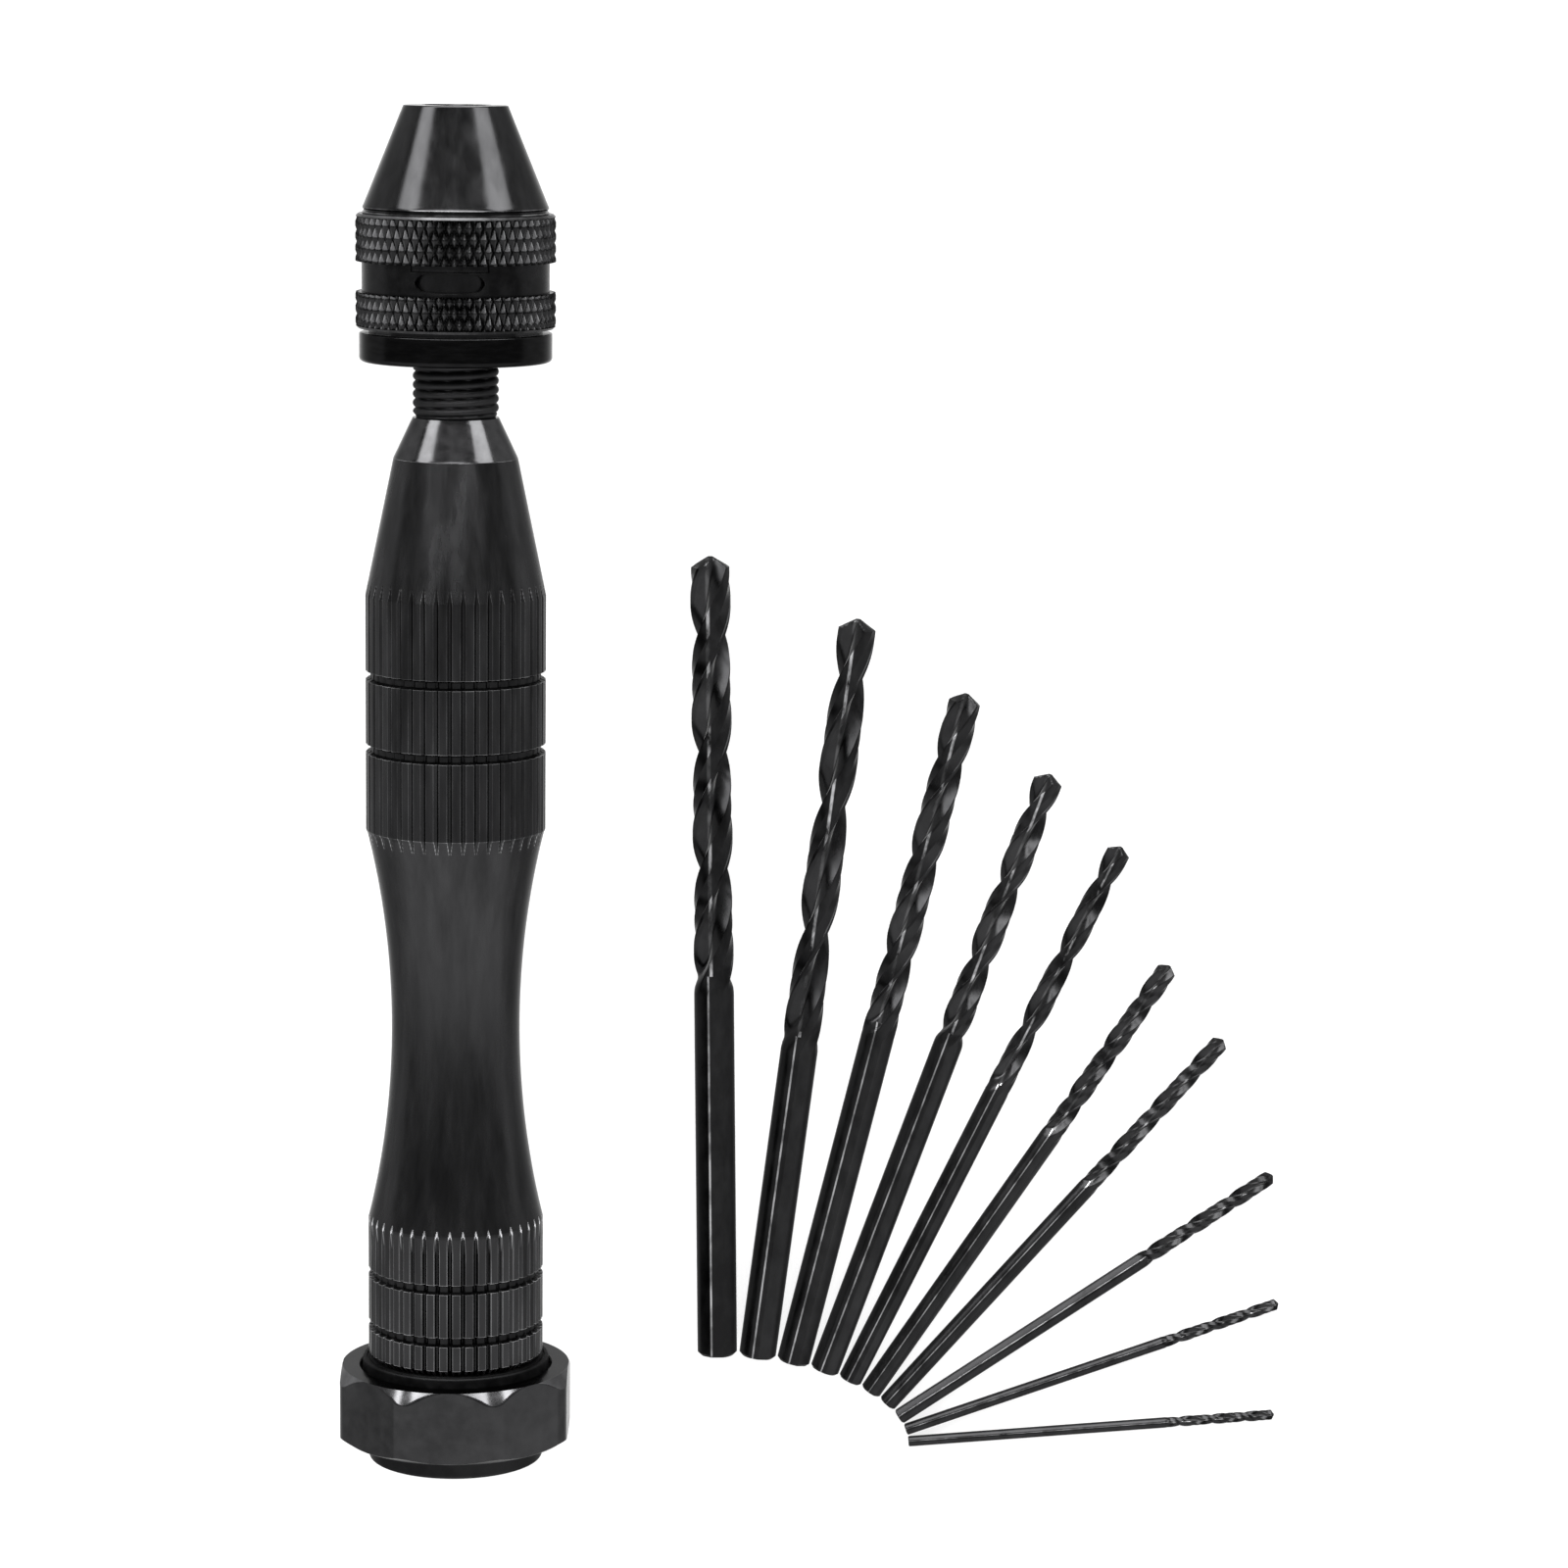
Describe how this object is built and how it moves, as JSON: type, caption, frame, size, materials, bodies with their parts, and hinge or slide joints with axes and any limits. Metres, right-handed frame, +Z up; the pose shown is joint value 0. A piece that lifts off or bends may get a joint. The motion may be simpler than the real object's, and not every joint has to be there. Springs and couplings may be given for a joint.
{
  "type": "pin vise drill",
  "caption": "Black hand drill with a keyless three-jaw chuck, a waisted fluted handle and a swivelling cap, beside a fan of twist drills.",
  "frame": {"origin": "centre of the set's bounding box, on the table it lies on", "axes": "+Y along the drill towards its nose, +X to the side where the bits lie, +Z up"},
  "size_m": [0.0704, 0.1014, 0.0168],
  "materials": {
    "black_steel": "black oxide, satin",
    "black_alloy": "black anodised, satin",
    "drill_steel": "black oxide, glossy",
    "black_nylon": "matt",
    "bright_steel": "ground and polished"
  },
  "bodies": {
    "handle": {"handle": "black_alloy", "spindle": "black_steel", "thrust_washer": "black_nylon", "axle_screw": "bright_steel", "bearing_inner_race": "bright_steel"},
    "cage": {"bearing_balls": "bright_steel", "bearing_cage": "black_nylon"},
    "cap": {"end_cap": "black_alloy", "end_disc": "black_alloy", "bearing_outer_race": "bright_steel"},
    "bush": {"thread_bush": "black_steel"},
    "chuck": {"chuck_body": "black_steel", "rear_ring": "black_steel"},
    "sleeve": {"chuck_sleeve": "black_steel", "jaw_nut_a": "bright_steel", "jaw_nut_b": "bright_steel"},
    "jaw_1": {"jaw_1": "bright_steel"},
    "jaw_2": {"jaw_2": "bright_steel"},
    "jaw_3": {"jaw_3": "bright_steel"},
    "drill_3_0": {"drill_3_0": "drill_steel"},
    "drill_2_8": {"drill_2_8": "drill_steel"},
    "drill_2_5": {"drill_2_5": "drill_steel"},
    "drill_2_2": {"drill_2_2": "drill_steel"},
    "drill_1_8": {"drill_1_8": "drill_steel"},
    "drill_1_6": {"drill_1_6": "drill_steel"},
    "drill_1_4": {"drill_1_4": "drill_steel"},
    "drill_1_2": {"drill_1_2": "drill_steel"},
    "drill_0_9": {"drill_0_9": "drill_steel"},
    "drill_0_8": {"drill_0_8": "drill_steel"}
  },
  "joints": [
    {"name": "chuck_advance", "type": "slide", "parent": "handle", "child": "bush", "axis": [0, 1, 0], "range_m": [0, 0.00456]},
    {"name": "chuck_turn", "type": "hinge", "parent": "bush", "child": "chuck", "pos_m": [-0.02681, 0.03469, 0.0084], "axis": [0, 1, 0], "range_deg": [0, 2520]},
    {"name": "sleeve_turn", "type": "hinge", "parent": "chuck", "child": "sleeve", "pos_m": [-0.02681, 0.03889, 0.0084], "axis": [0, 1, 0], "range_deg": [-2160, 0]},
    {"name": "jaw_1_slide", "type": "slide", "parent": "chuck", "child": "jaw_1", "axis": [0, 0.9659, -0.2588], "range_m": [0, 0.00481]},
    {"name": "jaw_2_slide", "type": "slide", "parent": "chuck", "child": "jaw_2", "axis": [0.2241, 0.9659, 0.1294], "range_m": [0, 0.00481]},
    {"name": "jaw_3_slide", "type": "slide", "parent": "chuck", "child": "jaw_3", "axis": [-0.2241, 0.9659, 0.1294], "range_m": [0, 0.00481]},
    {"name": "cap_spin", "type": "hinge", "parent": "handle", "child": "cap", "pos_m": [-0.02681, -0.04501, 0.0084], "axis": [0, 1, 0], "continuous": true},
    {"name": "cage_spin", "type": "hinge", "parent": "handle", "child": "cage", "pos_m": [-0.02681, -0.04501, 0.0084], "axis": [0, 1, 0], "continuous": true},
    {"name": "drill_3_0_lift", "type": "slide", "parent": "handle", "child": "drill_3_0", "axis": [0, 0, 1], "range_m": [0, 0.02]},
    {"name": "drill_2_8_lift", "type": "slide", "parent": "handle", "child": "drill_2_8", "axis": [0, 0, 1], "range_m": [0, 0.02]},
    {"name": "drill_2_5_lift", "type": "slide", "parent": "handle", "child": "drill_2_5", "axis": [0, 0, 1], "range_m": [0, 0.02]},
    {"name": "drill_2_2_lift", "type": "slide", "parent": "handle", "child": "drill_2_2", "axis": [0, 0, 1], "range_m": [0, 0.02]},
    {"name": "drill_1_8_lift", "type": "slide", "parent": "handle", "child": "drill_1_8", "axis": [0, 0, 1], "range_m": [0, 0.02]},
    {"name": "drill_1_6_lift", "type": "slide", "parent": "handle", "child": "drill_1_6", "axis": [0, 0, 1], "range_m": [0, 0.02]},
    {"name": "drill_1_4_lift", "type": "slide", "parent": "handle", "child": "drill_1_4", "axis": [0, 0, 1], "range_m": [0, 0.02]},
    {"name": "drill_1_2_lift", "type": "slide", "parent": "handle", "child": "drill_1_2", "axis": [0, 0, 1], "range_m": [0, 0.02]},
    {"name": "drill_0_9_lift", "type": "slide", "parent": "handle", "child": "drill_0_9", "axis": [0, 0, 1], "range_m": [0, 0.02]},
    {"name": "drill_0_8_lift", "type": "slide", "parent": "handle", "child": "drill_0_8", "axis": [0, 0, 1], "range_m": [0, 0.02]}
  ],
  "couplings": [
    {"joint": "chuck_advance", "follows": "chuck_turn", "m_per_rad": 0.00010345},
    {"joint": "jaw_1_slide", "follows": "sleeve_turn", "m_per_rad": -0.00012732},
    {"joint": "jaw_2_slide", "follows": "sleeve_turn", "m_per_rad": -0.00012732},
    {"joint": "jaw_3_slide", "follows": "sleeve_turn", "m_per_rad": -0.00012732},
    {"joint": "cage_spin", "follows": "cap_spin", "ratio": 0.6}
  ]
}
